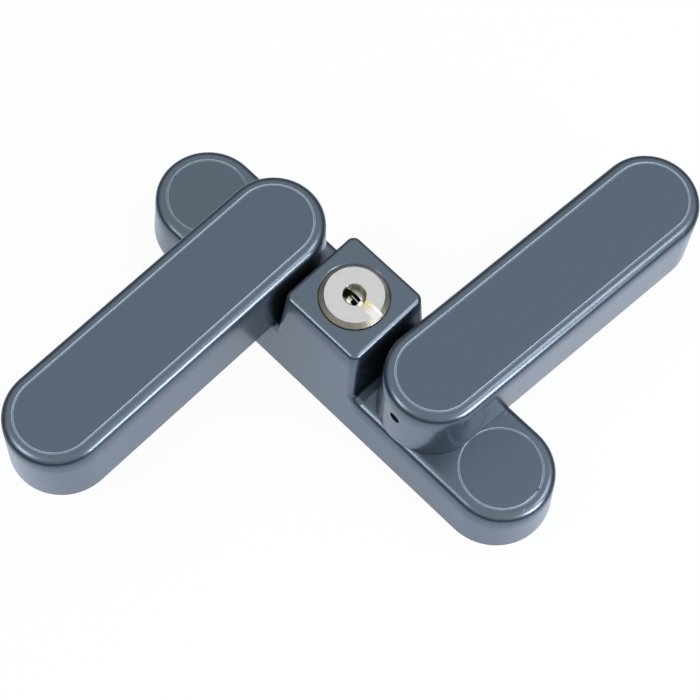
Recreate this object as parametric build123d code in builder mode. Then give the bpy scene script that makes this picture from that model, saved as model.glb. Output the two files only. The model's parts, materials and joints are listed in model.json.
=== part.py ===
# Lockable double swivel-arm bolt for a pair of window or door leaves.
# A cast base is screwed to the middle post, and two arms on it swing out over the leaves.
# A key cylinder in the block between the arms turns a pinion, which drives two locking slides
# into notched discs under the arms.
# Frame: millimetres, origin at the middle of the mounting face, +X along the base,
# +Y the way the right arm points, +Z away from the mounting face.
import os
from math import acos, atan, cos, degrees, pi, radians, sin, sqrt, tan

from build123d import *

os.makedirs("parts", exist_ok=True)

# Cast base housing
base_width = 33.0  # at the mounting face
base_height = 18.8
outline_radius = 2.4  # along the top of the base and up the corners of the block
ceiling_thickness = 2.8

# Cavity for the mechanism
cavity_half_width = 12.8
cavity_end_margin = 12.8  # from the arm pivot to the end of the cavity
cavity_corner_radius = 3.0

# Block that holds the key cylinder
block_height = 41.3
block_top_width = 27.0
block_edge_radius = 1.6
block_cavity_half = 11.4
block_roof = 5.3
foot_radius = 1.0

# End pockets, their caps and the fixing screw holes
cap_rim = 4.9  # from a cap's edge to the end of the base
cap_gap = 0.12
cap_thickness = 1.9
cap_edge = 0.35
cap_lip = 1.2  # how far the cap stands out beyond its skirt
cap_skirt_wall = 1.2
cap_skirt_depth = 3.5
cap_skirt_slits = 3
cap_skirt_slit_width = 2.4
cap_notch_width = 0.9
cap_notch_depth = 0.45
cap_notch_angle = 13.0
rim_radius = 0.35  # rounds the seats of the caps and the covers
pocket_gap = 0.1
pocket_floor = 8.0
fixing_spacing = 11.0
fixing_hole_radius = 2.6
fixing_head_radius = 4.9
countersink_angle = 90

# Base plate under the mechanism
plate_thickness = 2.0
plate_lip = 1.4  # how far the plate's rebate is wider than the cavity
plate_gap = 0.1
plate_corner_radius = 4.0

# Swivel arms
pivot_to_end = 27.05  # from a pivot to the centre of the base's round end
block_clearance = 0.9  # between an arm's side and the block
arm_reach = 80.2  # from the pivot to the centre of the far round end
arm_half_width = 15.2  # at the underside
arm_draft = 2.0
arm_top = 42.0
arm_gap = 0.3  # between the base and an arm
arm_edge_radius = 2.6
arm_cavity_half_width = 12.2
arm_roof = 2.4
arm_hub_radius = 13.8
rib_thickness = 1.8
rib_setback = 1.0
cross_rib_count = 4
left_rest_angle = 0.0  # turned from square to the base, as the arms stand
right_rest_angle = -4.0
notch_angles = (180.0, 270.0, 0.0)  # towards the slide when the arm is at a locking place

# Arm covers
cover_radius = 11.1
cover_gap = 0.12
cover_thickness = 1.4
cover_edge = 0.35
cover_peg_radius = 1.5
cover_peg_offset = 6.0
cover_peg_length = 3.4

# Pivot posts and what holds them
post_radius = 7.0
running_gap = 0.05
post_bottom = 8.0
post_top = 36.0
post_top_gap = 0.4
post_chamfer = 0.8
post_waist_radius = 6.3
post_waist_height = 4.4
tenon_radius = 5.0
tenon_half_width = 4.0
tenon_length = 2.8
boss_radius = 10.4
boss_gap = 0.4  # between the boss and the disc, filled by the spring washer
washer_thickness = 0.3
washer_inner_radius = 7.4
washer_outer_radius = 10.0
glide_inner_radius = 8.0
glide_outer_radius = 12.0
glide_thickness = 1.1
glide_seat_depth = 0.9
glide_seat_gap = 0.3
pivot_screw_radius = 2.45
pivot_screw_head_radius = 4.6
pivot_screw_length = 12.0
grub_height = 32.5
grub_radius = 1.75
grub_length = 6.4
socket_share = 0.6  # width of a hexagon socket against the diameter of its screw
socket_depth = 1.6

# Locking discs and slides
disc_radius = 11.0
disc_floor_gap = 0.3
notch_root_radius = 6.5
arm_play = 4.0  # how far an arm may stand off square and still lock
notch_side_gap = 0.25
slide_gap = 0.1
slide_height = 5.5
nose_half_width = 3.0
nose_rest_gap = 3.7  # between the nose and the disc when unlocked
nose_chamfer = 0.8
yoke_start = 7.5
yoke_end = 12.0
rack_back = 10.5
rack_overhang = 1.0
rack_tooth_count = 5
rack_first_tooth = -3  # in tooth pitches from the pinion's axis

# Pinion and its bearing bridge
gear_module = 1.0
pinion_teeth = 10
pressure_angle = 25.0
gear_addendum = 0.8
gear_dedendum = 1.05
tooth_thinning = 0.06  # taken off each flank along the pitch line
shaft_radius = 3.9
shaft_length = 11.3  # above the teeth
stub_radius = 2.5
stub_depth = 1.4
bridge_gap = 0.15
bridge_thickness = 2.5
bridge_half_length = 18.2
bridge_half_width = 10.2
bridge_corner_radius = 2.0
bridge_screw_x = 15.2
bridge_screw_y = 7.4
plate_screw_inset = 2.6
screw_post_radius = 2.8

# Small countersunk screws of the bridge and the base plate
screw_radius = 1.45
screw_gap = 0.05
screw_head_radius = 2.6
bridge_screw_length = 6.6
plate_screw_length = 8.5

# Key cylinder
head_radius = 9.65
head_gap = 0.2
head_stand = 1.3  # of the lock face above the block
head_bevel = 1.35
head_thickness = 3.6
head_seat_edge = 0.3
barrel_radius = 7.6
barrel_half_width = 6.8
barrel_gap = 0.08
barrel_stand = 2.6  # of the barrel above the pinion's shaft
nut_across_flats = 19.0
nut_thickness = 4.0
channel_width = 3.0
channel_depth = 1.1
face_hole_radius = 3.3
face_lip = 2.9

# Plug and the ring that keeps it in the barrel
plug_radius = 5.5
plug_inset = 1.5  # between the backs of the plug and the barrel
nose_radius = 3.24
nose_recess = 0.35
nose_dome = 1.1
tail_radius = 4.0
tail_gap = 0.3  # between the plug's tail and the pinion's shaft
tongue_width = 2.4
tongue_length = 6.6
tongue_depth = 4.6
ring_thickness = 0.8
ring_inner_radius = 4.3
ring_outer_radius = 6.1
ring_groove_radius = 6.2
ring_opening = 3.0

# Keyway, seen from the front and measured from the axis: a middle slot over two lobes
keyway_floor = 1.0
slot_left_reach = 3.2
slot_right_reach = 2.2
slot_rise = 0.45
slot_depth = 0.55
ward_reach = 0.4
ward_depth = 0.85
lobe_depth = 2.2
lobe_roof_depth = 1.2
left_lobe_inset = 0.9
right_lobe_inset = 0.5

# Tumbler wafers
wafer_count = 5
wafer_pitch = 2.2
wafer_inset = 0.6  # from the end of the keyway to the first wafer
wafer_thickness = 1.0
wafer_half_width = 3.2
wafer_gap = 0.05
wafer_setback = 0.15
window_half_length = 2.35
window_rise = 0.6
window_depth = 2.35
barrel_groove_depth = 1.1

# Heights and sizes that follow from the values above
casting_draft = degrees(atan((base_width - block_top_width) / 2 / block_height))
ceiling_height = base_height - ceiling_thickness
arm_bottom = base_height + arm_gap
block_half_width = base_width / 2 - arm_bottom * tan(radians(casting_draft))  # beside the arms
pivot_distance = round(block_half_width + arm_half_width + block_clearance, 1)
base_span = 2 * (pivot_distance + pivot_to_end)  # between the centres of the round ends
cavity_half_length = pivot_distance + cavity_end_margin
cap_radius = base_width / 2 - cap_rim
cap_seat_radius = cap_radius + cap_gap
cap_skirt_radius = cap_radius - cap_lip
pocket_radius = cap_skirt_radius + pocket_gap
cap_seat_height = base_height - cap_thickness
cover_bottom = arm_top - cover_thickness
arm_ceiling = cover_bottom - arm_roof
arm_hub_end = arm_reach + arm_cavity_half_width
disc_bottom = plate_thickness + disc_floor_gap
boss_bottom = post_bottom + boss_gap
bore_radius = post_radius + running_gap
tenon_bottom = post_bottom - tenon_length
glide_bottom = base_height + running_gap
slide_bottom = plate_thickness + slide_gap
slide_top = slide_bottom + slide_height
bridge_bottom = slide_top + bridge_gap
bridge_top = bridge_bottom + bridge_thickness
nose_tip = pivot_distance - disc_radius - nose_rest_gap
shaft_top = slide_top + shaft_length
tail_bottom = shaft_top + tail_gap
barrel_bottom = shaft_top + barrel_stand
plug_bottom = barrel_bottom + plug_inset
keyway_bottom = plug_bottom + keyway_floor
wafer_first = keyway_bottom + wafer_inset
roof_bottom = block_height - block_roof
head_top = block_height + head_stand
head_bottom = head_top - head_thickness
nose_top = head_top - nose_recess
plug_shoulder = head_top - face_lip - running_gap
plug_bore_radius = plug_radius + running_gap
ring_top = plug_bottom - running_gap
ring_bottom = ring_top - ring_thickness
pitch_radius = gear_module * pinion_teeth / 2
tooth_pitch = pi * gear_module
small_hole_radius = screw_radius + screw_gap
small_head_hole_radius = screw_head_radius + screw_gap
plate_screw_x = cavity_half_length - plate_screw_inset
plate_screw_y = cavity_half_width - plate_screw_inset
wafer_stack_top = wafer_first + (wafer_count - 1) * wafer_pitch + wafer_thickness

# Each arm and what turns with it is modelled at its pivot, pointing along +Y, and then placed
arm_places = {
    "right": Location((pivot_distance, 0, 0), (0, 0, right_rest_angle)),
    "left": Location((-pivot_distance, 0, 0), (0, 0, 180 + left_rest_angle)),
}
end_places = {
    "right": Location((base_span / 2, 0, 0)),
    "left": Location((-base_span / 2, 0, 0), (0, 0, 180)),
}
slide_places = {"right": Location(), "left": Location((0, 0, 0), (0, 0, 180))}
from_below = Plane(origin=(0, 0, 0), x_dir=(1, 0, 0), z_dir=(0, 0, -1))


def save(shape, name):
    shape.label = name
    export_step(shape, f"parts/{name}.step")


def save_pair(shape, name, places):
    for side, place in places.items():
        save(shape.moved(place), f"{name}_{side}")


def countersunk_screw(radius, head_radius, length):
    # Head face at z=0, shank up along +Z, hexagon socket in the head
    with BuildPart() as screw:
        with BuildSketch(Plane.XZ):
            Polygon(
                (0, 0),
                (head_radius, 0),
                (radius, head_radius - radius),
                (radius, length),
                (0, length),
                align=None,
            )
        revolve(axis=Axis.Z)
        with BuildSketch():
            RegularPolygon(radius * socket_share, 6, major_radius=False)
        extrude(amount=socket_depth, mode=Mode.SUBTRACT)
    return screw.part


# Base housing: a drafted casting with the block rising from its middle
with BuildPart() as base_housing:
    with BuildSketch():
        SlotCenterToCenter(base_span, base_width)
    extrude(amount=base_height, taper=casting_draft)
    with BuildSketch():
        Rectangle(base_width, base_width)
    extrude(amount=block_height, taper=casting_draft)
    foot_edges = base_housing.edges().filter_by(Axis.Y).group_by(Axis.Z)[0]
    fillet(foot_edges, foot_radius)
    outline = base_housing.edges().filter_by_position(
        Axis.Z, base_height - foot_radius, block_height - foot_radius
    )
    fillet(outline.filter_by(Axis.Y, reverse=True), outline_radius)
    fillet(base_housing.faces().sort_by(Axis.Z)[-1].edges(), block_edge_radius)

    # Cavity for the mechanism and the hollow of the block, open towards the mounting face
    with BuildSketch():
        RectangleRounded(2 * cavity_half_length, 2 * cavity_half_width, cavity_corner_radius)
    extrude(amount=ceiling_height, mode=Mode.SUBTRACT)
    with BuildSketch():
        RectangleRounded(2 * block_cavity_half, 2 * block_cavity_half, cavity_corner_radius)
    extrude(amount=roof_bottom, mode=Mode.SUBTRACT)
    with BuildSketch():
        RectangleRounded(
            2 * (cavity_half_length + plate_lip),
            2 * (cavity_half_width + plate_lip),
            plate_corner_radius,
        )
    extrude(amount=plate_thickness, mode=Mode.SUBTRACT)

    # Bearing bosses for the pivot posts
    with BuildSketch(Plane.XY.offset(boss_bottom)):
        with GridLocations(2 * pivot_distance, 0, 2, 1):
            Circle(boss_radius)
    extrude(amount=ceiling_height - boss_bottom)
    with BuildSketch():
        with GridLocations(2 * pivot_distance, 0, 2, 1):
            Circle(bore_radius)
    extrude(amount=base_height, mode=Mode.SUBTRACT)

    # Ledges that guide the backs of the slides
    with BuildSketch(Plane.XY.offset(plate_thickness)):
        with GridLocations(0, rack_back + slide_gap + cavity_half_width, 1, 2):
            Rectangle(2 * bridge_half_length, cavity_half_width - rack_back - slide_gap)
    extrude(amount=slide_height)

    # Screw posts for the bearing bridge and the base plate
    with BuildSketch(Plane.XY.offset(bridge_top)):
        with GridLocations(2 * bridge_screw_x, 2 * bridge_screw_y, 2, 2):
            Circle(screw_post_radius)
    extrude(amount=ceiling_height - bridge_top)
    with BuildSketch(Plane.XY.offset(plate_thickness)):
        with GridLocations(2 * plate_screw_x, 2 * plate_screw_y, 2, 2):
            Circle(screw_post_radius)
    extrude(amount=ceiling_height - plate_thickness)
    with BuildSketch(Plane.XY.offset(bridge_top)):
        with GridLocations(2 * bridge_screw_x, 2 * bridge_screw_y, 2, 2):
            Circle(small_hole_radius)
    extrude(amount=bridge_screw_length - bridge_thickness + screw_radius, mode=Mode.SUBTRACT)
    with BuildSketch(Plane.XY.offset(plate_thickness)):
        with GridLocations(2 * plate_screw_x, 2 * plate_screw_y, 2, 2):
            Circle(small_hole_radius)
    extrude(amount=plate_screw_length - plate_thickness + screw_radius, mode=Mode.SUBTRACT)

    # End pockets with a seat for the cap and two countersunk fixing holes each
    with BuildSketch(Plane.XY.offset(cap_seat_height)):
        with GridLocations(base_span, 0, 2, 1):
            Circle(cap_seat_radius)
    extrude(amount=cap_thickness, mode=Mode.SUBTRACT)
    fillet(base_housing.edges(Select.LAST).group_by(Axis.Z)[-1], rim_radius)
    with BuildSketch(Plane.XY.offset(pocket_floor)):
        with GridLocations(base_span, 0, 2, 1):
            Circle(pocket_radius)
    extrude(amount=cap_seat_height - pocket_floor, mode=Mode.SUBTRACT)
    with Locations(Plane.XY.offset(pocket_floor)):
        with GridLocations(base_span, fixing_spacing, 2, 2):
            CounterSinkHole(fixing_hole_radius, fixing_head_radius, pocket_floor, countersink_angle)

    # Seat for the cylinder head and the flatted hole for its barrel
    with BuildSketch(Plane.XY.offset(head_bottom)):
        Circle(head_radius + head_gap)
    extrude(amount=block_height - head_bottom, mode=Mode.SUBTRACT)
    with BuildSketch(Plane.XY.offset(roof_bottom)):
        Circle(barrel_radius + barrel_gap)
        Rectangle(
            2 * (barrel_radius + barrel_gap), 2 * (barrel_half_width + barrel_gap), mode=Mode.INTERSECT
        )
    extrude(amount=head_bottom - roof_bottom, mode=Mode.SUBTRACT)
    seat_rim = base_housing.edges().filter_by(GeomType.CIRCLE).group_by(Axis.Z)[-1]
    chamfer(seat_rim, head_seat_edge)
save(base_housing.part, "base_housing")

# Base plate: closes the cavity from behind and carries the pinion's lower end
with BuildPart() as base_plate:
    with BuildSketch():
        RectangleRounded(
            2 * (cavity_half_length + plate_lip - plate_gap),
            2 * (cavity_half_width + plate_lip - plate_gap),
            plate_corner_radius - plate_gap,
        )
    extrude(amount=plate_thickness)
    with BuildSketch(Plane.XY.offset(plate_thickness)):
        Circle(stub_radius + running_gap)
    extrude(amount=-stub_depth, mode=Mode.SUBTRACT)
    with Locations(from_below):
        with GridLocations(2 * plate_screw_x, 2 * plate_screw_y, 2, 2):
            CounterSinkHole(
                small_hole_radius, small_head_hole_radius, plate_thickness, countersink_angle
            )
save(base_plate.part, "base_plate")

with BuildPart() as plate_screws:
    with GridLocations(2 * plate_screw_x, 2 * plate_screw_y, 2, 2):
        add(countersunk_screw(screw_radius, screw_head_radius, plate_screw_length))
save(plate_screws.part, "plate_screws")

# Bearing bridge: holds the slides down and carries the pinion's shaft
with BuildPart() as bearing_bridge:
    with BuildSketch(Plane.XY.offset(bridge_bottom)):
        RectangleRounded(2 * bridge_half_length, 2 * bridge_half_width, bridge_corner_radius)
        Circle(shaft_radius + running_gap, mode=Mode.SUBTRACT)
    extrude(amount=bridge_thickness)
    with Locations(from_below.offset(-bridge_bottom)):
        with GridLocations(2 * bridge_screw_x, 2 * bridge_screw_y, 2, 2):
            CounterSinkHole(
                small_hole_radius, small_head_hole_radius, bridge_thickness, countersink_angle
            )
save(bearing_bridge.part, "bearing_bridge")

with BuildPart() as bridge_screws:
    with Locations((0, 0, bridge_bottom)):
        with GridLocations(2 * bridge_screw_x, 2 * bridge_screw_y, 2, 2):
            add(countersunk_screw(screw_radius, screw_head_radius, bridge_screw_length))
save(bridge_screws.part, "bridge_screws")

# End cap: a plain round cover that clips into the pocket over the fixing screws
with BuildPart() as end_cap:
    with BuildSketch(Plane.XY.offset(cap_seat_height)):
        Circle(cap_radius)
    extrude(amount=cap_thickness)
    fillet(end_cap.faces().sort_by(Axis.Z)[-1].edges(), cap_edge)
    with BuildSketch(Plane.XY.offset(cap_seat_height)):
        Circle(cap_skirt_radius)
        Circle(cap_skirt_radius - cap_skirt_wall, mode=Mode.SUBTRACT)
        with PolarLocations(cap_skirt_radius, cap_skirt_slits):
            Rectangle(4 * cap_skirt_wall, cap_skirt_slit_width, mode=Mode.SUBTRACT)
    extrude(amount=-cap_skirt_depth)
    with BuildSketch(Plane.XY.offset(base_height)):
        with PolarLocations(cap_radius, 1, start_angle=cap_notch_angle):
            Rectangle(2 * cap_notch_depth, cap_notch_width)
    extrude(amount=-cap_notch_depth, mode=Mode.SUBTRACT)
save_pair(end_cap.part, "end_cap", end_places)

# Key cylinder body: a bevelled head above the block and a flatted barrel through its roof
with BuildPart() as cylinder_body:
    with BuildSketch(Plane.XY.offset(head_bottom)):
        Circle(head_radius)
    extrude(amount=head_thickness)
    chamfer(cylinder_body.faces().sort_by(Axis.Z)[-1].edges(), head_bevel)
    with BuildSketch(Plane.XY.offset(head_bottom)):
        Circle(barrel_radius)
        Rectangle(2 * barrel_radius, 2 * barrel_half_width, mode=Mode.INTERSECT)
    extrude(amount=barrel_bottom - head_bottom)
    with BuildSketch(Plane.XY.offset(barrel_bottom)):
        Circle(plug_bore_radius)
    extrude(amount=head_top - face_lip - barrel_bottom, mode=Mode.SUBTRACT)
    with BuildSketch(Plane.XY.offset(head_top)):
        Circle(face_hole_radius)
    extrude(amount=-face_lip, mode=Mode.SUBTRACT)
    # Grooves that the wafers drop into, and the groove of the retaining ring
    with BuildSketch(Plane.XY.offset(barrel_bottom)):
        Rectangle(
            2 * (plug_bore_radius + barrel_groove_depth), 2 * (wafer_half_width + wafer_gap)
        )
    extrude(amount=wafer_stack_top + wafer_gap - barrel_bottom, mode=Mode.SUBTRACT)
    with BuildSketch(Plane.XY.offset(ring_bottom - running_gap)):
        Circle(ring_groove_radius)
    extrude(amount=ring_thickness + 2 * running_gap, mode=Mode.SUBTRACT)
    # Channel from the keyhole out through the bevel
    with BuildSketch(Plane.XY.offset(head_top)):
        with Locations((head_radius / 2, 0)):
            Rectangle(head_radius, channel_width)
        with Locations((head_radius, 0)):
            Rectangle(head_bevel, channel_width)
    extrude(amount=-channel_depth, mode=Mode.SUBTRACT)
save(cylinder_body.part, "cylinder_body")

with BuildPart() as cylinder_nut:
    with BuildSketch(Plane.XY.offset(roof_bottom)):
        RegularPolygon(nut_across_flats / 2, 6, major_radius=False)
        Circle(barrel_radius + barrel_gap, mode=Mode.SUBTRACT)
    extrude(amount=-nut_thickness)
save(cylinder_nut.part, "cylinder_nut")

# Retaining ring: an open ring in the barrel's groove, behind the plug
with BuildPart() as retaining_ring:
    with BuildSketch(Plane.XY.offset(ring_bottom)):
        Circle(ring_outer_radius)
        Circle(ring_inner_radius, mode=Mode.SUBTRACT)
        with Locations((0, ring_outer_radius)):
            Rectangle(ring_opening, 2 * ring_outer_radius, mode=Mode.SUBTRACT)
    extrude(amount=ring_thickness)
save(retaining_ring.part, "retaining_ring")

# Plug: turned by the key, with a domed nose in the face hole and a tongue for the pinion
dome_radius = (nose_radius**2 + nose_dome**2) / (2 * nose_dome)
dome_middle = nose_top - dome_radius + sqrt(dome_radius**2 - (nose_radius / 2) ** 2)
with BuildPart() as plug:
    with BuildSketch(Plane.XZ):
        with BuildLine():
            Polyline(
                (0, nose_top),
                (0, tail_bottom),
                (tail_radius, tail_bottom),
                (tail_radius, plug_bottom),
                (plug_radius, plug_bottom),
                (plug_radius, plug_shoulder),
                (nose_radius, plug_shoulder),
                (nose_radius, nose_top - nose_dome),
            )
            ThreePointArc(
                (nose_radius, nose_top - nose_dome),
                (nose_radius / 2, dome_middle),
                (0, nose_top),
            )
        make_face()
    revolve(axis=Axis.Z)
    with BuildSketch(Plane.XY.offset(tail_bottom)):
        Rectangle(tongue_length, tongue_width)
    extrude(amount=-tongue_depth)
    with BuildSketch(Plane.XY.offset(keyway_bottom)):
        Polygon(
            (-slot_left_reach, slot_rise),
            (slot_right_reach, slot_rise),
            (slot_right_reach, -slot_depth),
            (-ward_reach, -slot_depth),
            (-ward_reach, -ward_depth),
            (slot_right_reach, -ward_depth),
            (slot_right_reach, -lobe_depth),
            (right_lobe_inset, -lobe_depth),
            (right_lobe_inset, -lobe_roof_depth),
            (-left_lobe_inset, -lobe_roof_depth),
            (-left_lobe_inset, -lobe_depth),
            (-slot_left_reach, -lobe_depth),
            align=None,
        )
    extrude(amount=nose_top - keyway_bottom, mode=Mode.SUBTRACT)
    for index in range(wafer_count):
        with BuildSketch(Plane.XY.offset(wafer_first + index * wafer_pitch - wafer_gap)):
            Rectangle(2 * plug_radius, 2 * (wafer_half_width + wafer_gap))
        extrude(amount=wafer_thickness + 2 * wafer_gap, mode=Mode.SUBTRACT)
save(plug.part, "plug")

# Wafers, drawn back into the plug as the right key holds them
with BuildPart() as tumbler_wafers:
    for index in range(wafer_count):
        with BuildSketch(Plane.XY.offset(wafer_first + index * wafer_pitch)):
            Circle(plug_radius - wafer_setback)
            Rectangle(2 * plug_radius, 2 * wafer_half_width, mode=Mode.INTERSECT)
            with Locations((0, (window_rise - window_depth) / 2)):
                Rectangle(2 * window_half_length, window_rise + window_depth, mode=Mode.SUBTRACT)
        extrude(amount=wafer_thickness)
save(tumbler_wafers.part, "tumbler_wafers")


def involute(angle):
    return tan(angle) - angle


def half_tooth_angle(radius, tooth_base_radius):
    # Half of the angle that a tooth takes up at a radius, straight inwards below the base circle
    slope = acos(tooth_base_radius / max(radius, tooth_base_radius))
    middle = pi / (2 * pinion_teeth) - tooth_thinning / pitch_radius
    return middle + involute(radians(pressure_angle)) - involute(slope)


# Pinion: an involute gear with a lower stub and a slotted shaft for the plug's tongue
tooth_base_radius = pitch_radius * cos(radians(pressure_angle))
tip_radius = pitch_radius + gear_addendum
root_radius = pitch_radius - gear_dedendum
flank = []
for radius in (root_radius, tooth_base_radius, (tooth_base_radius + tip_radius) / 2, tip_radius):
    angle = half_tooth_angle(radius, tooth_base_radius)
    flank.append((radius * cos(angle), radius * sin(angle)))
mirrored = [(x, -y) for x, y in flank]
with BuildPart() as pinion:
    with BuildSketch(Plane.XY.offset(slide_bottom)) as gear_outline:
        Circle(root_radius)
        with BuildSketch(mode=Mode.PRIVATE) as tooth:
            with BuildLine():
                Line((0, 0), flank[0])
                Line(flank[0], flank[1])
                ThreePointArc(flank[1], flank[2], flank[3])
                ThreePointArc(flank[3], (tip_radius, 0), mirrored[3])
                ThreePointArc(mirrored[3], mirrored[2], mirrored[1])
                Line(mirrored[1], mirrored[0])
                Line(mirrored[0], (0, 0))
            make_face()
        with PolarLocations(0, pinion_teeth):
            add(tooth.sketch)
    extrude(amount=slide_height)
    with BuildSketch(Plane.XY.offset(slide_bottom)):
        Circle(stub_radius)
    extrude(amount=-stub_depth)
    with BuildSketch(Plane.XY.offset(slide_top)):
        Circle(shaft_radius)
    extrude(amount=shaft_top - slide_top)
    with BuildSketch(Plane.XY.offset(shaft_top)):
        Rectangle(2 * shaft_radius, tongue_width + 2 * running_gap)
    extrude(amount=tail_bottom - tongue_depth - slide_gap - shaft_top, mode=Mode.SUBTRACT)
save(pinion.part, "pinion")

# Locking slide: a rack beside the pinion, a yoke round it and a nose that enters the disc
rack_tip = -(pitch_radius - gear_addendum)
rack_root = -(pitch_radius + gear_dedendum)
rack_start = rack_first_tooth * tooth_pitch - tooth_pitch / 2 - rack_overhang
half_tooth = tooth_pitch / 4 - tooth_thinning
half_tip = half_tooth - gear_addendum * tan(radians(pressure_angle))
half_root = half_tooth + gear_dedendum * tan(radians(pressure_angle))
with BuildPart() as locking_slide:
    with BuildSketch(Plane.XY.offset(slide_bottom)):
        Polygon(
            (rack_start, rack_root),
            (rack_start, -rack_back),
            (yoke_end, -rack_back),
            (yoke_end, -nose_half_width),
            (nose_tip - nose_chamfer, -nose_half_width),
            (nose_tip, nose_chamfer - nose_half_width),
            (nose_tip, nose_half_width - nose_chamfer),
            (nose_tip - nose_chamfer, nose_half_width),
            (yoke_start, nose_half_width),
            (yoke_start, rack_root),
            align=None,
        )
        for index in range(rack_tooth_count):
            middle = (rack_first_tooth + index) * tooth_pitch
            Polygon(
                (middle - half_root, rack_root),
                (middle + half_root, rack_root),
                (middle + half_tip, rack_tip),
                (middle - half_tip, rack_tip),
                align=None,
            )
    extrude(amount=slide_height)
save_pair(locking_slide.part, "locking_slide", slide_places)

# Swivel arm: a ribbed casting with a solid hub round its pivot post
bay = (arm_hub_end - arm_hub_radius) / (cross_rib_count + 1)
rib_places = [(0, arm_hub_radius + bay * (index + 1)) for index in range(cross_rib_count)]
peg_rows = (arm_hub_radius + bay / 2, arm_hub_end - 1.5 * bay)
peg_places = [(side * cover_peg_offset, row) for row in peg_rows for side in (-1, 1)]
grub_start = Plane(origin=(0, -post_waist_radius - running_gap, grub_height), z_dir=(0, -1, 0))
with BuildPart() as arm:
    with BuildSketch(Plane.XY.offset(arm_bottom)):
        with Locations((0, arm_reach / 2)):
            SlotCenterToCenter(arm_reach, 2 * arm_half_width, rotation=90)
    extrude(amount=arm_top - arm_bottom, taper=arm_draft)
    fillet(arm.faces().sort_by(Axis.Z)[-1].edges(), arm_edge_radius)
    # Hollow underside with ribs under the roof
    with BuildSketch(Plane.XY.offset(arm_bottom)):
        with Locations((0, arm_reach / 2)):
            SlotCenterToCenter(arm_reach, 2 * arm_cavity_half_width, rotation=90)
        Circle(arm_hub_radius, mode=Mode.SUBTRACT)
    extrude(amount=arm_ceiling - arm_bottom, mode=Mode.SUBTRACT)
    with BuildSketch(Plane.XY.offset(arm_ceiling)):
        with Locations((0, (arm_hub_radius + arm_hub_end) / 2)):
            Rectangle(rib_thickness, arm_hub_end - arm_hub_radius + rib_thickness)
        with Locations(*rib_places):
            Rectangle(2 * arm_cavity_half_width, rib_thickness)
    extrude(amount=arm_bottom + rib_setback - arm_ceiling)
    # Seat of the cover with holes for its pegs
    with BuildSketch(Plane.XY.offset(cover_bottom)):
        with Locations((0, arm_reach / 2)):
            SlotCenterToCenter(arm_reach, 2 * (cover_radius + cover_gap), rotation=90)
    extrude(amount=cover_thickness, mode=Mode.SUBTRACT)
    fillet(arm.edges(Select.LAST).group_by(Axis.Z)[-1], rim_radius)
    with BuildSketch(Plane.XY.offset(cover_bottom)):
        with Locations(*peg_places):
            Circle(cover_peg_radius + running_gap)
    extrude(amount=-arm_roof, mode=Mode.SUBTRACT)
    # Bore of the pivot post, seat of the glide ring and the grub screw's hole
    with BuildSketch(Plane.XY.offset(arm_bottom)):
        Circle(bore_radius)
    extrude(amount=post_top + post_top_gap - arm_bottom, mode=Mode.SUBTRACT)
    with BuildSketch(Plane.XY.offset(arm_bottom)):
        Circle(glide_outer_radius + glide_seat_gap)
    extrude(amount=glide_seat_depth, mode=Mode.SUBTRACT)
    with BuildSketch(grub_start):
        Circle(grub_radius)
    extrude(amount=arm_half_width, mode=Mode.SUBTRACT)
save_pair(arm.part, "arm", arm_places)

# Arm cover: a flat inlay pegged into the top of the arm
with BuildPart() as arm_cover:
    with BuildSketch(Plane.XY.offset(cover_bottom)):
        with Locations((0, arm_reach / 2)):
            SlotCenterToCenter(arm_reach, 2 * cover_radius, rotation=90)
    extrude(amount=cover_thickness)
    fillet(arm_cover.faces().sort_by(Axis.Z)[-1].edges(), cover_edge)
    with BuildSketch(Plane.XY.offset(cover_bottom)):
        with Locations(*peg_places):
            Circle(cover_peg_radius)
    extrude(amount=-cover_peg_length)
save_pair(arm_cover.part, "arm_cover", arm_places)

# Pivot post: joins the arm to the locking disc through the bearing boss
with BuildPart() as pivot_post:
    with BuildSketch(Plane.XY.offset(post_bottom)):
        Circle(post_radius)
    extrude(amount=post_top - post_bottom)
    chamfer(pivot_post.faces().sort_by(Axis.Z)[-1].edges(), post_chamfer)
    with BuildSketch(Plane.XY.offset(grub_height - post_waist_height / 2)):
        Circle(post_radius)
        Circle(post_waist_radius, mode=Mode.SUBTRACT)
    extrude(amount=post_waist_height, mode=Mode.SUBTRACT)
    with BuildSketch(Plane.XY.offset(post_bottom)):
        Circle(tenon_radius)
        Rectangle(2 * tenon_radius, 2 * tenon_half_width, mode=Mode.INTERSECT)
    extrude(amount=-tenon_length)
    with BuildSketch(Plane.XY.offset(tenon_bottom)):
        Circle(pivot_screw_radius + screw_gap)
    extrude(
        amount=disc_bottom + pivot_screw_length + pivot_screw_radius - tenon_bottom,
        mode=Mode.SUBTRACT,
    )
save_pair(pivot_post.part, "pivot_post", arm_places)

# Locking disc: keyed to the post, with a notch for each place where the arm can be locked
notch_half_width = (
    nose_half_width * cos(radians(arm_play))
    + disc_radius * sin(radians(arm_play))
    + notch_side_gap
)
with BuildPart() as locking_disc:
    with BuildSketch(Plane.XY.offset(disc_bottom)):
        Circle(disc_radius)
        for angle in notch_angles:
            with PolarLocations(notch_root_radius + disc_radius / 2, 1, angle):
                Rectangle(disc_radius, 2 * notch_half_width, mode=Mode.SUBTRACT)
    extrude(amount=post_bottom - disc_bottom)
    with BuildSketch(Plane.XY.offset(post_bottom)):
        Circle(tenon_radius + running_gap)
        Rectangle(
            2 * (tenon_radius + running_gap), 2 * (tenon_half_width + running_gap), mode=Mode.INTERSECT
        )
    extrude(amount=-tenon_length - running_gap, mode=Mode.SUBTRACT)
    with Locations(from_below.offset(-disc_bottom)):
        CounterSinkHole(
            pivot_screw_radius + screw_gap,
            pivot_screw_head_radius + screw_gap,
            post_bottom - disc_bottom,
            countersink_angle,
        )
save_pair(locking_disc.part, "locking_disc", arm_places)

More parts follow.
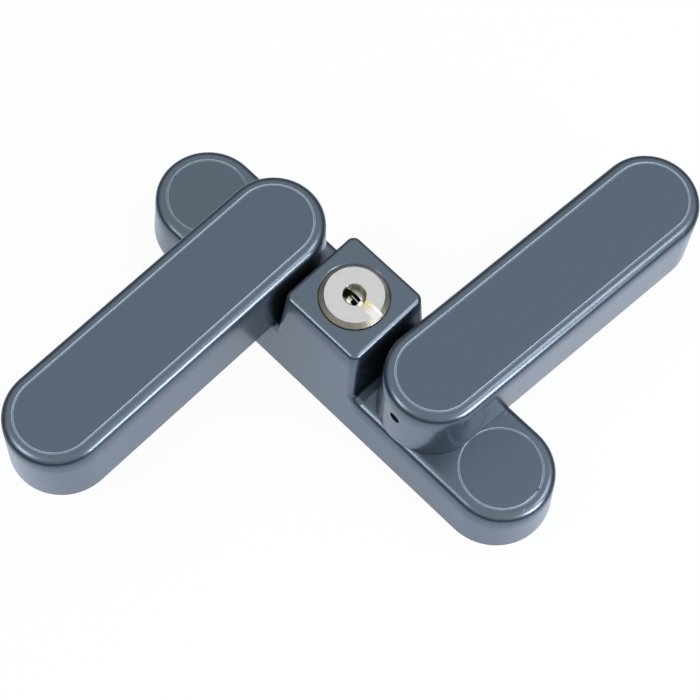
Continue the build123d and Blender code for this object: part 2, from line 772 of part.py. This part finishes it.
with BuildPart() as pivot_screw:
    with Locations((0, 0, disc_bottom)):
        add(countersunk_screw(pivot_screw_radius, pivot_screw_head_radius, pivot_screw_length))
save_pair(pivot_screw.part, "pivot_screw", arm_places)

# Washers and rings that the arm turns on
with BuildPart() as spring_washer:
    with BuildSketch(Plane.XY.offset(post_bottom + running_gap)):
        Circle(washer_outer_radius)
        Circle(washer_inner_radius, mode=Mode.SUBTRACT)
    extrude(amount=washer_thickness)
save_pair(spring_washer.part, "spring_washer", arm_places)

with BuildPart() as glide_ring:
    with BuildSketch(Plane.XY.offset(glide_bottom)):
        Circle(glide_outer_radius)
        Circle(glide_inner_radius, mode=Mode.SUBTRACT)
    extrude(amount=glide_thickness)
save_pair(glide_ring.part, "glide_ring", arm_places)

# Grub screw: bears on the post's waist and keeps the arm on it
with BuildPart() as grub_screw:
    with BuildSketch(grub_start):
        Circle(grub_radius - screw_gap)
    extrude(amount=grub_length)
    with BuildSketch(grub_start.offset(grub_length)):
        RegularPolygon(grub_radius * socket_share, 6, major_radius=False)
    extrude(amount=-socket_depth, mode=Mode.SUBTRACT)
save_pair(grub_screw.part, "grub_screw", arm_places)
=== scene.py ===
import json
from math import cos, radians, sin

import bpy
from bpy.props import FloatProperty, PointerProperty, StringProperty
from mathutils import Matrix, Vector
from mathutils.bvhtree import BVHTree


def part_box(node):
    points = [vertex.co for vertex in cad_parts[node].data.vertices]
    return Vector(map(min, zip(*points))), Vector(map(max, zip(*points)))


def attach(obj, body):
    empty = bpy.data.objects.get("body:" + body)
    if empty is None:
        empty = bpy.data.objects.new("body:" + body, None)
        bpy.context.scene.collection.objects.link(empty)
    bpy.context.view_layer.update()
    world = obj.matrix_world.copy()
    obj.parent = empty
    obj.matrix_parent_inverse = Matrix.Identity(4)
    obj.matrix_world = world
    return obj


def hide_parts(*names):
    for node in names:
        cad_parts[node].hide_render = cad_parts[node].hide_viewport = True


bl_info = {
    "name": "Swivel Arm Bolt Finish",
    "version": (1, 0, 0),
    "blender": (4, 5, 0),
    "location": "View3D > Sidebar > Arm Bolt",
    "description": "Dresses the packed swivel-arm bolt in lacquer, nickel and steel",
    "category": "Object",
}

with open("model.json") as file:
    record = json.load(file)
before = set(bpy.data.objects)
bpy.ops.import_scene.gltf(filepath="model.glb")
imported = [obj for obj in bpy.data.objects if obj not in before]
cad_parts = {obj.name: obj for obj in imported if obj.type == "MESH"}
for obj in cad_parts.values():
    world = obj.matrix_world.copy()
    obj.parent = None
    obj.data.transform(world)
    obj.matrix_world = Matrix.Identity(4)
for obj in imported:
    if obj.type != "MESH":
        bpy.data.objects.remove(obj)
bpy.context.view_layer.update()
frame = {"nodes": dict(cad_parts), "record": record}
MM = 0.001
SIDES = ("left", "right")
MERGE_REACH = 0.002 * MM  # joins the loose triangles of a solid's mesh
CREASE = radians(32)  # an edge that turns further than this stays sharp
SLANT = (0.1, 0.98)  # how far the normals of rounds and bevels point up
RING_PERIOD = 0.314  # distance between a wave texture's rings at a scale of 1
MIX_FIRST, MIX_SECOND, MIX_RESULT = 6, 7, 2  # colour sockets of a Mix node
FLAKE_SHARE = 0.05  # how strongly the flakes tint the lacquer
WHITE_SHARE = 0.95  # how far the floor is lifted to white where the camera sees it
MIRRORED_SHARE = 0.72  # the part of that lift which mirrored light keeps


def swatch(name, description, default):
    return StringProperty(name=name, description=description, default=default)


def length(name, description, default):
    return FloatProperty(name=name, description=description, default=default, unit="LENGTH")


class ArmBoltColours(bpy.types.PropertyGroup):
    lacquer: swatch("Lacquer", "Metallic blue-grey lacquer of the castings", "#56626F")
    lacquer_flake: swatch("Lacquer flake", "Lighter flakes in the lacquer", "#8A95A4")
    inlay: swatch("Inlay lacquer", "Lacquer of the arm covers and end caps", "#505D6A")
    edge: swatch("Painted rim highlight", "Pale lacquer on the rims of covers and caps, a painted highlight line", "#98A4B3")
    nickel: swatch("Nickel", "Satin nickel of the lock face", "#DAD9D6")
    nickel_shade: swatch("Nickel streaks", "Darker turning marks in the nickel", "#B9B7B2")
    plug_nickel: swatch("Plug nickel", "Polished nickel of the plug", "#A8A497")
    worn_brass: swatch("Worn brass", "Brass beside the keyhole", "#D9D2AC")
    worn_nickel: swatch("Worn nickel", "Bright nickel that keys have rubbed", "#F1EFE9")
    bevel: swatch("Bevel", "Dull nickel on the lock's bevel", "#EAE5D8")
    bevel_shade: swatch("Bevel streaks", "Brownish streaks on the lock's bevel", "#AFA692")
    zinc_plate: swatch("Zinc plate", "Zinc plating of plates and screws", "#B4B8BC")
    zinc_shade: swatch("Zinc mottle", "Darker mottle in the zinc", "#9DA3AA")
    hard_steel: swatch("Hardened steel", "Oiled hardened steel of the mechanism", "#77787A")
    hard_shade: swatch("Hardened mottle", "Darker mottle in the hardened steel", "#5E5F62")
    blued_steel: swatch("Blued steel", "Blued spring strip", "#4A4F58")
    blued_shade: swatch("Blued mottle", "Darker mottle in the blued strip", "#333944")
    black_oxide: swatch("Black oxide", "Black finish of the grub screws", "#26262A")
    black_shade: swatch("Black mottle", "Darker mottle in the black finish", "#1A1A1C")
    brass: swatch("Brass", "Tarnished brass under the nickel", "#8F7F52")
    brass_shade: swatch("Brass mottle", "Darker mottle in the brass", "#6E5E38")
    acetal: swatch("Acetal", "Black moulded glide rings", "#1B1C1F")
    floor: swatch("Floor", "Pale studio floor under the lamps", "#E0EAFB")
    floor_seen: swatch("Floor seen", "Studio floor as the camera sees it", "#FFFFFF")
    floor_mirrored: swatch("Floor mirrored", "Studio floor in mirrored light", "#EDF3FF")
    sky: swatch("Sky", "Tent of light round the studio", "#F9FCFF")


class ArmBoltSizes(bpy.types.PropertyGroup):
    flake_size: length("Flake size", "Width of a flake in the lacquer", 0.18 * MM)
    peel_size: length("Orange peel", "Distance between the lacquer's low waves", 1.6 * MM)
    peel_depth: length("Peel depth", "Height of the waves on the castings", 0.002 * MM)
    inlay_peel: length("Inlay peel", "Height of the waves on covers and caps", 0.003 * MM)
    crown_height: length("Crown height", "How far down a casting's side bows", 7.0 * MM)
    crown_depth: length("Crown depth", "How far a side draws in towards its top", 0.9 * MM)
    crown_ramp: length("Crown ramp", "Length over which a side's bow begins", 3.0 * MM)
    base_top: length("Base top", "Height of the base's top", 18.8 * MM)
    arm_margin: length("Arm margin", "How far before the arm the base's bow begins", 1.0 * MM)
    rim_reach: length("Rim reach", "How far a rim reaches from a cover or cap", 0.55 * MM)
    seam: length("Seam", "Width of the seam that lacquer closes round an inlay", 0.12 * MM)
    turning_pitch: length("Turning pitch", "Distance between turning marks", 0.3 * MM)
    bevel_start: length("Bevel start", "Inner radius of the lock's bevel", 7.5 * MM)
    bevel_depth: length("Bevel depth", "How far down the lock's bevel reaches", 2.5 * MM)
    channel_start: length("Channel start", "Where the rubbed channel leaves the keyhole", 2.9 * MM)
    channel_half: length("Channel half", "Half the width of the rubbed channel", 1.6 * MM)
    channel_depth: length("Channel depth", "How far down the rubbed channel reaches", 1.2 * MM)
    channel_lip: length("Channel lip", "Depth at which the rubbed channel begins", 0.05 * MM)
    wear_patch: length("Wear patch", "Width of a patch of rubbed nickel", 1.2 * MM)
    wear_wander: length("Wear wander", "How far the edge of the brass wanders", 3.0 * MM)
    wear_start: length("Wear start", "Where the brass begins to give way to nickel", 5.0 * MM)
    wear_end: length("Wear end", "Where the brass has given way to nickel", 8.5 * MM)
    mould_grain: length("Mould grain", "Width of the acetal's mould grain", 0.4 * MM)
    mould_depth: length("Mould depth", "Depth of the acetal's mould grain", 0.02 * MM)
    floor_gap: length("Floor gap", "Gap between the object and the floor", 0.1 * MM)
    floor_size: length("Floor size", "Width of the studio floor", 6.0)


def linear(hex_colour):
    # sRGB hex to the linear values that shaders take
    values = [int(hex_colour[i:i + 2], 16) / 255 for i in (1, 3, 5)]
    return [v / 12.92 if v <= 0.04045 else ((v + 0.055) / 1.055) ** 2.4 for v in values] + [1.0]


def add_node(tree, kind, settings=None, inputs=None, links=None):
    # One shader node with its settings, its input values and its incoming links
    node = tree.nodes.new(kind)
    for key, value in (settings or {}).items():
        setattr(node, key, value)
    for key, value in (inputs or {}).items():
        node.inputs[key].default_value = value
    for key, socket in (links or {}).items():
        tree.links.new(socket, node.inputs[key])
    return node


def new_material(name):
    material = bpy.data.materials.new(name)
    material.use_nodes = True
    material.node_tree.nodes.clear()
    return material, material.node_tree


def satin_lacquer(name, colour, flake_colour, sizes, peel_depth, tops=()):
    # Metallic lacquer sprayed on zinc die castings: a satin clear coat with the faint orange peel
    # that spraying leaves, over flakes that are drawn far coarser than real ones and only just
    # show. For each height in tops and distance from the middle where it starts, the sides bow a
    # little, so that their shine fades downwards
    material, tree = new_material(name)
    place = add_node(tree, "ShaderNodeTexCoord").outputs["Object"]
    flakes = add_node(tree, "ShaderNodeTexVoronoi", {"feature": "F1"},
                      {"Scale": 1 / sizes.flake_size}, {"Vector": place})
    tint = add_node(tree, "ShaderNodeSeparateColor", links={"Color": flakes.outputs["Color"]})
    share = add_node(tree, "ShaderNodeMapRange", None, {"To Max": FLAKE_SHARE},
                     {"Value": tint.outputs["Red"]})
    base = add_node(tree, "ShaderNodeMix", {"data_type": "RGBA"},
                    {MIX_FIRST: linear(colour), MIX_SECOND: linear(flake_colour)},
                    {"Factor": share.outputs["Result"]})
    peel = add_node(tree, "ShaderNodeTexNoise", None,
                    {"Scale": 1 / sizes.peel_size, "Detail": 2.0, "Roughness": 0.5},
                    {"Vector": place})
    bump = add_node(tree, "ShaderNodeBump", None, {"Strength": 0.5, "Distance": peel_depth},
                    {"Height": peel.outputs["Fac"]})
    if tops:
        along = add_node(tree, "ShaderNodeSeparateXYZ", links={"Vector": place})
        away = add_node(tree, "ShaderNodeMath", {"operation": "ABSOLUTE"}, None,
                        {0: along.outputs["X"]})
    for top, start in tops:
        rise = add_node(tree, "ShaderNodeMapRange", None,
                        {"From Min": top - sizes.crown_height, "From Max": top},
                        {"Value": along.outputs["Z"]})
        bow = add_node(tree, "ShaderNodeMath", {"operation": "MULTIPLY"}, None,
                       {0: rise.outputs["Result"], 1: rise.outputs["Result"]})
        beyond = add_node(tree, "ShaderNodeMapRange", None,
                          {"From Min": start, "From Max": start + sizes.crown_ramp},
                          {"Value": away.outputs[0]})
        bow = add_node(tree, "ShaderNodeMath", {"operation": "MULTIPLY"}, None,
                       {0: bow.outputs[0], 1: beyond.outputs["Result"]})
        bump = add_node(tree, "ShaderNodeBump", {"invert": True},
                        {"Strength": 1.0, "Distance": sizes.crown_depth},
                        {"Height": bow.outputs[0], "Normal": bump.outputs["Normal"]})
    shine = add_node(tree, "ShaderNodeMapRange", None, {"To Min": 0.28, "To Max": 0.32},
                     {"Value": peel.outputs["Fac"]})
    paint = add_node(tree, "ShaderNodeBsdfPrincipled", None,
                     {"Metallic": 0.9, "IOR": 1.5, "Coat Weight": 0.6, "Coat Roughness": 0.15},
                     {"Base Color": base.outputs[MIX_RESULT], "Roughness": shine.outputs["Result"],
                      "Normal": bump.outputs["Normal"], "Coat Normal": bump.outputs["Normal"]})
    add_node(tree, "ShaderNodeOutputMaterial", links={"Surface": paint.outputs[0]})
    return material


def rim_highlight_lacquer(name, colour, sizes):
    # Paler, rougher lacquer on the rounded rims of covers, caps and their seats, so that they read
    # light from every side: a painted highlight line
    material, tree = new_material(name)
    place = add_node(tree, "ShaderNodeTexCoord").outputs["Object"]
    patches = add_node(tree, "ShaderNodeTexNoise", None,
                       {"Scale": 1 / sizes.peel_size, "Detail": 3.0}, {"Vector": place})
    shine = add_node(tree, "ShaderNodeMapRange", None, {"To Min": 0.35, "To Max": 0.55},
                     {"Value": patches.outputs["Fac"]})
    paint = add_node(tree, "ShaderNodeBsdfPrincipled", None,
                     {"Base Color": linear(colour), "Metallic": 0.3, "IOR": 1.5},
                     {"Roughness": shine.outputs["Result"]})
    add_node(tree, "ShaderNodeOutputMaterial", links={"Surface": paint.outputs[0]})
    return material


def lay_metal(tree, first, second, share, shine, pattern):
    # Metal that goes from one colour to another by share, its roughness by the pattern
    base = add_node(tree, "ShaderNodeMix", {"data_type": "RGBA"},
                    {MIX_FIRST: linear(first), MIX_SECOND: linear(second)}, {"Factor": share})
    gloss = add_node(tree, "ShaderNodeMapRange", None, {"To Min": shine[0], "To Max": shine[1]},
                     {"Value": pattern})
    metal = add_node(tree, "ShaderNodeBsdfPrincipled", None, {"Metallic": 1.0},
                     {"Base Color": base.outputs[MIX_RESULT], "Roughness": gloss.outputs["Result"]})
    add_node(tree, "ShaderNodeOutputMaterial", links={"Surface": metal.outputs[0]})


def turned_metal(name, colour, shade, pitch, roughness):
    # Metal turned on a lathe and lapped: a smooth face with a trace of rings round the Z axis,
    # drawn coarser than real turning marks so that they show
    material, tree = new_material(name)
    streak_width = 4 * pitch
    place = add_node(tree, "ShaderNodeTexCoord").outputs["Object"]
    rings = add_node(tree, "ShaderNodeTexWave",
                     {"wave_type": "RINGS", "rings_direction": "Z", "wave_profile": "SIN"},
                     {"Scale": RING_PERIOD / pitch, "Distortion": 0.0}, {"Vector": place})
    streaks = add_node(tree, "ShaderNodeTexNoise", None,
                       {"Scale": 1 / streak_width, "Detail": 3.0, "Roughness": 0.6},
                       {"Vector": place})
    both = add_node(tree, "ShaderNodeMath", {"operation": "MULTIPLY"}, None,
                    {0: rings.outputs["Fac"], 1: streaks.outputs["Fac"]})
    lay_metal(tree, colour, shade, both.outputs[0], (roughness - 0.03, roughness + 0.05),
              streaks.outputs["Fac"])
    return material


def worn_bevel(name, colour, shade, streak_count):
    # Turned bevel whose nickel has gone dull and brownish, in short streaks that run outwards
    material, tree = new_material(name)
    place = add_node(tree, "ShaderNodeTexCoord").outputs["Object"]
    turn = add_node(tree, "ShaderNodeTexGradient", {"gradient_type": "RADIAL"}, None,
                    {"Vector": place})
    streaks = add_node(tree, "ShaderNodeTexNoise", {"noise_dimensions": "1D"},
                       {"Scale": streak_count, "Detail": 2.0, "Roughness": 0.6},
                       {"W": turn.outputs["Fac"]})
    lay_metal(tree, shade, colour, streaks.outputs["Fac"], (0.46, 0.28), streaks.outputs["Fac"])
    return material


def rubbed_brass(name, brass, nickel, sizes):
    # Nickel rubbed through by keys: yellow brass beside the keyhole, bright nickel further out
    material, tree = new_material(name)
    place = add_node(tree, "ShaderNodeTexCoord").outputs["Object"]
    along = add_node(tree, "ShaderNodeSeparateXYZ", links={"Vector": place})
    patches = add_node(tree, "ShaderNodeTexNoise", None,
                       {"Scale": 1 / sizes.wear_patch, "Detail": 3.0}, {"Vector": place})
    wander = add_node(tree, "ShaderNodeMath", {"operation": "MULTIPLY_ADD"},
                      {1: sizes.wear_wander}, {0: patches.outputs["Fac"], 2: along.outputs["X"]})
    share = add_node(tree, "ShaderNodeMapRange", {"interpolation_type": "SMOOTHSTEP"},
                     {"From Min": sizes.wear_start, "From Max": sizes.wear_end},
                     {"Value": wander.outputs[0]})
    lay_metal(tree, brass, nickel, share.outputs["Result"], (0.16, 0.3), patches.outputs["Fac"])
    return material


def plain_metal(name, colour, shade, grain, roughness):
    # Pressed, plated or sintered metal: a fine mottle in colour and shine
    material, tree = new_material(name)
    place = add_node(tree, "ShaderNodeTexCoord").outputs["Object"]
    mottle = add_node(tree, "ShaderNodeTexNoise", None,
                      {"Scale": 1 / grain, "Detail": 4.0, "Roughness": 0.6}, {"Vector": place})
    lay_metal(tree, colour, shade, mottle.outputs["Fac"], (roughness - 0.08, roughness + 0.1),
              mottle.outputs["Fac"])
    return material


def moulded_acetal(name, colour, sizes):
    # Black acetal: low gloss with a fine mould grain
    material, tree = new_material(name)
    place = add_node(tree, "ShaderNodeTexCoord").outputs["Object"]
    grain = add_node(tree, "ShaderNodeTexNoise", None,
                     {"Scale": 1 / sizes.mould_grain, "Detail": 2.0}, {"Vector": place})
    bump = add_node(tree, "ShaderNodeBump", None,
                    {"Strength": 0.3, "Distance": sizes.mould_depth},
                    {"Height": grain.outputs["Fac"]})
    plastic = add_node(tree, "ShaderNodeBsdfPrincipled", None,
                       {"Base Color": linear(colour), "Roughness": 0.45, "IOR": 1.48},
                       {"Normal": bump.outputs["Normal"]})
    add_node(tree, "ShaderNodeOutputMaterial", links={"Surface": plastic.outputs[0]})
    return material


def studio_floor(name, colour, seen_colour, mirrored_colour):
    # Pale paper: lit by the lamps, and lifted to white where the camera sees it directly; in
    # mirrored light it stays a little cool and keeps more of its shadows
    material, tree = new_material(name)
    paper = add_node(tree, "ShaderNodeBsdfDiffuse", None, {"Color": linear(colour)})
    path = add_node(tree, "ShaderNodeLightPath")
    tint = add_node(tree, "ShaderNodeMix", {"data_type": "RGBA"},
                    {MIX_FIRST: linear(mirrored_colour), MIX_SECOND: linear(seen_colour)},
                    {"Factor": path.outputs["Is Camera Ray"]})
    glow = add_node(tree, "ShaderNodeEmission", None, {"Strength": 1.0},
                    {"Color": tint.outputs[MIX_RESULT]})
    mirrored = add_node(tree, "ShaderNodeMath", {"operation": "ADD"}, None,
                        {0: path.outputs["Is Glossy Ray"], 1: path.outputs["Is Transmission Ray"]})
    seen = add_node(tree, "ShaderNodeMath", {"operation": "MULTIPLY_ADD"}, {1: MIRRORED_SHARE},
                    {0: mirrored.outputs[0], 2: path.outputs["Is Camera Ray"]})
    share = add_node(tree, "ShaderNodeMath", {"operation": "MULTIPLY", "use_clamp": True},
                     {1: WHITE_SHARE}, {0: seen.outputs[0]})
    mix = add_node(tree, "ShaderNodeMixShader", None, None,
                   {0: share.outputs[0], 1: paper.outputs[0], 2: glow.outputs[0]})
    add_node(tree, "ShaderNodeOutputMaterial", links={"Surface": mix.outputs[0]})
    return material


def only(piece):
    bpy.ops.object.select_all(action="DESELECT")
    piece.select_set(True)
    bpy.context.view_layer.objects.active = piece


def finished_casting(node, body, material):
    # A merged copy of the solid with its true rounds shaded smooth and its flats kept flat
    source = frame["nodes"][node]
    piece = bpy.data.objects.new(f"{node}_finish", source.data.copy())
    bpy.context.scene.collection.objects.link(piece)
    only(piece)
    bpy.ops.mesh.customdata_custom_splitnormals_clear()
    bpy.ops.object.mode_set(mode="EDIT")
    bpy.ops.mesh.select_all(action="SELECT")
    bpy.ops.mesh.remove_doubles(threshold=MERGE_REACH)
    bpy.ops.object.mode_set(mode="OBJECT")
    bpy.ops.object.shade_smooth_by_angle(angle=CREASE, keep_sharp_edges=False)
    weighted = piece.modifiers.new("flats", "WEIGHTED_NORMAL")
    weighted.keep_sharp = True
    bpy.ops.object.modifier_apply(modifier=weighted.name)
    piece.data.materials.clear()
    piece.data.materials.append(material)
    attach(piece, body)
    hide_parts(node)
    return piece


def lay_on_faces(piece, material, chosen):
    # Second finish on the faces that a test picks by their centre and normal
    piece.data.materials.append(material)
    last = len(piece.data.materials) - 1
    for face in piece.data.polygons:
        if chosen(face.center, face.normal):
            face.material_index = last


def slanted(normal):
    return SLANT[0] < normal.z < SLANT[1]


def rim_of(inlay, piece, material, reach):
    # The rounded rim of a cover or cap, and of the seat round it
    top = max(corner[2] for corner in inlay.bound_box)
    tree = BVHTree.FromPolygons([v.co for v in inlay.data.vertices],
                                [face.vertices for face in inlay.data.polygons])
    lay_on_faces(piece, material, lambda middle, normal: slanted(normal)
                 and middle.z > top - reach and tree.find_nearest(middle, reach)[0] is not None)


def grown(piece, reach):
    # The piece widened by reach on each side, its height unchanged
    low, high = (Vector(piece.bound_box[corner]) for corner in (0, 6))
    only(piece)
    bpy.ops.object.mode_set(mode="EDIT")
    bpy.ops.mesh.select_all(action="SELECT")
    bpy.ops.transform.resize(value=(1 + 2 * reach / (high.x - low.x),
                                    1 + 2 * reach / (high.y - low.y), 1.0),
                             center_override=(low + high) / 2)
    bpy.ops.object.mode_set(mode="OBJECT")


def settings():
    return bpy.context.scene.arm_bolt_colours, bpy.context.scene.arm_bolt_sizes


class ARMBOLT_OT_castings(bpy.types.Operator):
    """Lacquer the base housing and the two arms"""

    bl_idname = "armbolt.castings"
    bl_label = "Castings"

    def execute(self, context):
        colours, sizes = settings()
        block_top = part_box("base_housing")[1][2]
        beyond_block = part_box("arm_right")[0][0] - sizes.arm_margin
        everywhere = -sizes.crown_ramp
        arm_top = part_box("arm_right")[1][2]
        on_base = satin_lacquer("base lacquer, sprayed", colours.lacquer, colours.lacquer_flake,
                                sizes, sizes.peel_depth,
                                ((sizes.base_top, beyond_block), (block_top, everywhere)))
        on_arms = satin_lacquer("arm lacquer, sprayed", colours.lacquer, colours.lacquer_flake,
                                sizes, sizes.peel_depth, ((arm_top, everywhere),))
        # The rims of the end-cap seats and of the arms round their covers get paler lacquer that
        # reads light from every side: a painted highlight line
        rim_highlight = rim_highlight_lacquer("painted highlight on seat rims", colours.edge, sizes)
        base = finished_casting("base_housing", "base", on_base)
        for side in SIDES:
            rim_of(frame["nodes"][f"end_cap_{side}"], base, rim_highlight, sizes.rim_reach)
            arm = finished_casting(f"arm_{side}", f"{side}_arm", on_arms)
            rim_of(frame["nodes"][f"arm_cover_{side}"], arm, rim_highlight, sizes.rim_reach)
        return {"FINISHED"}


class ARMBOLT_OT_inlays(bpy.types.Operator):
    """Lacquer the arm covers and the end caps"""

    bl_idname = "armbolt.inlays"
    bl_label = "Covers and caps"

    def execute(self, context):
        colours, sizes = settings()
        lacquer = satin_lacquer("inlay lacquer, sprayed", colours.inlay, colours.lacquer_flake,
                                sizes, sizes.inlay_peel)
        # The rims of the covers and caps get paler lacquer that reads light from every side: a
        # painted highlight line
        rim_highlight = rim_highlight_lacquer("painted highlight on inlay edges", colours.edge, sizes)
        for side in SIDES:
            cover = finished_casting(f"arm_cover_{side}", f"{side}_arm", lacquer)
            cap = finished_casting(f"end_cap_{side}", "base", lacquer)
            for inlay in (cover, cap):
                rim_of(inlay, inlay, rim_highlight, sizes.rim_reach)
                grown(inlay, sizes.seam)
        return {"FINISHED"}


class ARMBOLT_OT_lock(bpy.types.Operator):
    """Plate the cylinder's face and plug with nickel over brass"""

    bl_idname = "armbolt.lock"
    bl_label = "Lock face"

    def execute(self, context):
        colours, sizes = settings()
        face = turned_metal("satin nickel on brass, turned", colours.nickel, colours.nickel_shade,
                            sizes.turning_pitch, roughness=0.3)
        nose = turned_metal("polished nickel on brass", colours.plug_nickel, colours.nickel_shade,
                            sizes.turning_pitch, roughness=0.2)
        rubbed = rubbed_brass("nickel rubbed through to brass", colours.worn_brass,
                              colours.worn_nickel, sizes)
        dulled = worn_bevel("dulled nickel on the bevel", colours.bevel, colours.bevel_shade,
                            streak_count=36)
        body = finished_casting("cylinder_body", "base", face)
        finished_casting("plug", "key_plug", nose)
        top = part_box("cylinder_body")[1][2]
        lay_on_faces(body, dulled, lambda middle, normal: slanted(normal)
                     and middle.z > top - sizes.bevel_depth
                     and Vector(middle[:2]).length > sizes.bevel_start)
        lay_on_faces(body, rubbed, lambda middle, normal: middle.x > sizes.channel_start
                     and abs(middle.y) < sizes.channel_half
                     and top - sizes.channel_depth < middle.z < top - sizes.channel_lip)
        return {"FINISHED"}


class ARMBOLT_OT_mechanism(bpy.types.Operator):
    """Finish the steel, brass and acetal pieces inside the base and under the arms"""

    bl_idname = "armbolt.mechanism"
    bl_label = "Mechanism"

    def execute(self, context):
        colours, sizes = settings()
        metals = (
            # slot, material, colour, shade, grain in mm, roughness
            ("zinc_plated_steel", "zinc-plated steel", "zinc_plate", "zinc_shade", 1.5, 0.35),
            ("hardened_steel", "sintered steel, oiled", "hard_steel", "hard_shade", 0.5, 0.42),
            ("spring_steel", "blued spring strip", "blued_steel", "blued_shade", 2.0, 0.3),
            ("black_screw_steel", "black oxide steel", "black_oxide", "black_shade", 0.5, 0.45),
            ("bare_brass", "tarnished brass", "brass", "brass_shade", 1.0, 0.4),
        )
        finish_of_slot = {
            slot: plain_metal(name, getattr(colours, colour), getattr(colours, shade),
                              grain * MM, roughness)
            for slot, name, colour, shade, grain, roughness in metals
        }
        finish_of_slot["glide_acetal"] = moulded_acetal("moulded acetal", colours.acetal, sizes)
        for entry in frame["record"]["subparts"]:
            material = finish_of_slot.get(entry["material_slot"])
            if material:
                mesh = frame["nodes"][entry["node"]].data
                mesh.materials.clear()
                mesh.materials.append(material)
        return {"FINISHED"}


class ARMBOLT_OT_stage(bpy.types.Operator):
    """Pale floor, soft lamps, world and the camera of the picture"""

    bl_idname = "armbolt.stage"
    bl_label = "Stage"

    def execute(self, context):
        colours, sizes = settings()
        scene = context.scene
        scene.view_settings.view_transform = "Standard"
        bpy.ops.object.select_all(action="DESELECT")
        bpy.ops.mesh.primitive_plane_add(size=sizes.floor_size, location=(0, 0, -sizes.floor_gap))
        floor = bpy.context.object
        floor.name = "studio_floor"
        floor.data.materials.append(studio_floor("white paper", colours.floor, colours.floor_seen,
                                                 colours.floor_mirrored))

        # A tent of light, bright overhead and dim towards the horizon
        world = bpy.data.worlds.new("studio")
        scene.world = world
        world.use_nodes = True
        tree = world.node_tree
        tree.nodes.clear()
        way = add_node(tree, "ShaderNodeTexCoord").outputs["Generated"]
        height = add_node(tree, "ShaderNodeSeparateXYZ", links={"Vector": way})
        level = add_node(tree, "ShaderNodeMapRange", {"interpolation_type": "SMOOTHSTEP"},
                         {"From Min": 0.3, "From Max": 0.85, "To Min": 0.12, "To Max": 1.0},
                         {"Value": height.outputs["Z"]})
        sky = add_node(tree, "ShaderNodeBackground", None, {"Color": linear(colours.sky)},
                       {"Strength": level.outputs["Result"]})
        add_node(tree, "ShaderNodeOutputWorld", links={"Surface": sky.outputs[0]})

        lamps = (
            # name, place, size, watts
            ("right softbox", (0.47, 0.09, 0.37), 0.2, 1.5),
            ("rear softbox", (0.35, 0.39, 0.82), 0.25, 1.2),
            ("front softbox", (-0.25, -0.57, 0.8), 0.3, 1.6),
        )
        for name, place, size, watts in lamps:
            lamp = bpy.data.lights.new(name, "AREA")
            lamp.shape = "SQUARE"
            lamp.size = size
            lamp.energy = watts
            holder = bpy.data.objects.new(name, lamp)
            holder.location = place
            holder.rotation_euler = Vector(place).to_track_quat("Z", "Y").to_euler()
            scene.collection.objects.link(holder)

        # The view and the lens that fit the photograph's outlines
        azimuth, elevation, roll = radians(38.99), radians(67.74), radians(6.14)
        target = Vector((2.13, -2.01, 10.0)) * MM
        distance = 538.94 * MM
        focal_pixels, frame_pixels, sensor = 1884.1, 700, 36.0
        back = Vector((sin(azimuth) * cos(elevation), -cos(azimuth) * cos(elevation),
                       sin(elevation)))
        sideways = (-back).cross(Vector((0, 0, 1))).normalized()
        upright = sideways.cross(-back)
        across = sideways * cos(roll) + upright * sin(roll)
        up = upright * cos(roll) - sideways * sin(roll)
        camera = bpy.data.objects.new("camera", bpy.data.cameras.new("camera"))
        camera.data.sensor_width = sensor
        camera.data.lens = sensor * focal_pixels / frame_pixels
        camera.data.clip_start = 0.01
        camera.data.clip_end = 20.0
        turn = Matrix((across, up, back)).transposed().to_4x4()
        camera.matrix_world = Matrix.Translation(target + back * distance) @ turn
        scene.collection.objects.link(camera)
        scene.camera = camera
        return {"FINISHED"}


class ARMBOLT_PT_panel(bpy.types.Panel):
    bl_label = "Arm Bolt"
    bl_space_type = "VIEW_3D"
    bl_region_type = "UI"
    bl_category = "Arm Bolt"

    def draw(self, context):
        for operator in OPERATORS:
            self.layout.operator(operator.bl_idname)


OPERATORS = (
    ARMBOLT_OT_castings,
    ARMBOLT_OT_inlays,
    ARMBOLT_OT_lock,
    ARMBOLT_OT_mechanism,
    ARMBOLT_OT_stage,
)
CLASSES = (ArmBoltColours, ArmBoltSizes, *OPERATORS, ARMBOLT_PT_panel)


def register():
    for cls in CLASSES:
        bpy.utils.register_class(cls)
    bpy.types.Scene.arm_bolt_colours = PointerProperty(type=ArmBoltColours)
    bpy.types.Scene.arm_bolt_sizes = PointerProperty(type=ArmBoltSizes)


def unregister():
    del bpy.types.Scene.arm_bolt_sizes
    del bpy.types.Scene.arm_bolt_colours
    for cls in reversed(CLASSES):
        bpy.utils.unregister_class(cls)


def main():
    register()
    bpy.ops.armbolt.castings()
    bpy.ops.armbolt.inlays()
    bpy.ops.armbolt.lock()
    bpy.ops.armbolt.mechanism()
    bpy.ops.armbolt.stage()


if __name__ == "__main__":
    main()
